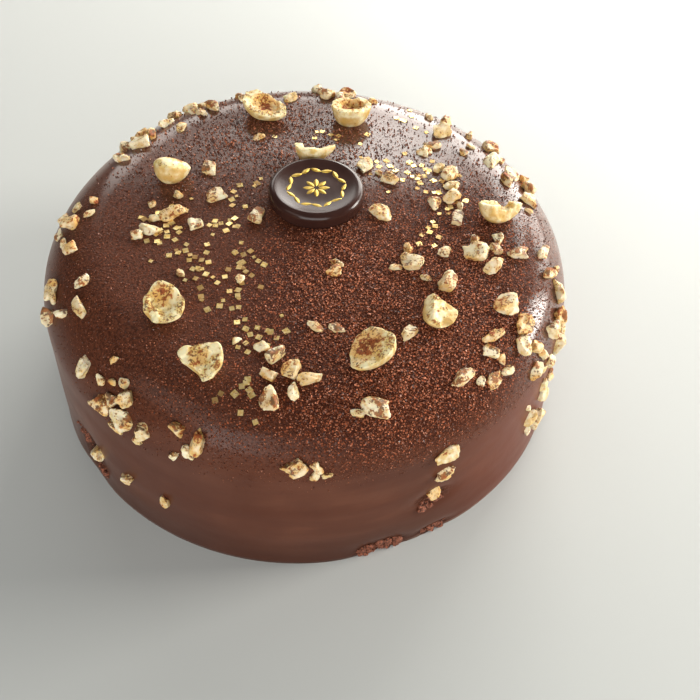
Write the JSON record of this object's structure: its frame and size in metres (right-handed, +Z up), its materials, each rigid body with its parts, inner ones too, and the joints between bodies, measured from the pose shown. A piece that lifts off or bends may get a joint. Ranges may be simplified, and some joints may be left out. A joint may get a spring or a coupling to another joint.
{
  "type": "chocolate hazelnut cake",
  "caption": "Round uncut chocolate cake with a smooth glaze, rounded shoulder, chopped hazelnut, hazelnut halves, gold flakes and a small chocolate disc on top.",
  "frame": {"origin": "middle of the flat underside, on the surface that the cake stands on", "axes": "+Z up through the middle of the cake, -Y towards the front of the pictured view, +X to its right"},
  "size_m": [0.1858, 0.1843, 0.0758],
  "materials": {
    "chocolate_glaze": "satin milk chocolate glaze with cocoa dust",
    "dark_chocolate": "polished dark chocolate",
    "hazelnut": "toasted, matt",
    "gold_flake": "thin bright squares",
    "cocoa": "dry powder",
    "sponge": "rough crumb"
  },
  "bodies": {
    "root": {"cake": "chocolate_glaze", "chocolate_disc": "dark_chocolate", "hazelnut_back_left": "hazelnut", "hazelnut_back_right": "hazelnut", "hazelnut_behind_disc": "hazelnut", "hazelnut_left_back": "hazelnut", "hazelnut_left_front": "hazelnut", "hazelnut_front_left": "hazelnut", "hazelnut_front_right": "hazelnut", "hazelnut_right_front": "hazelnut", "hazelnut_right_back": "hazelnut"}
  },
  "joints": []
}
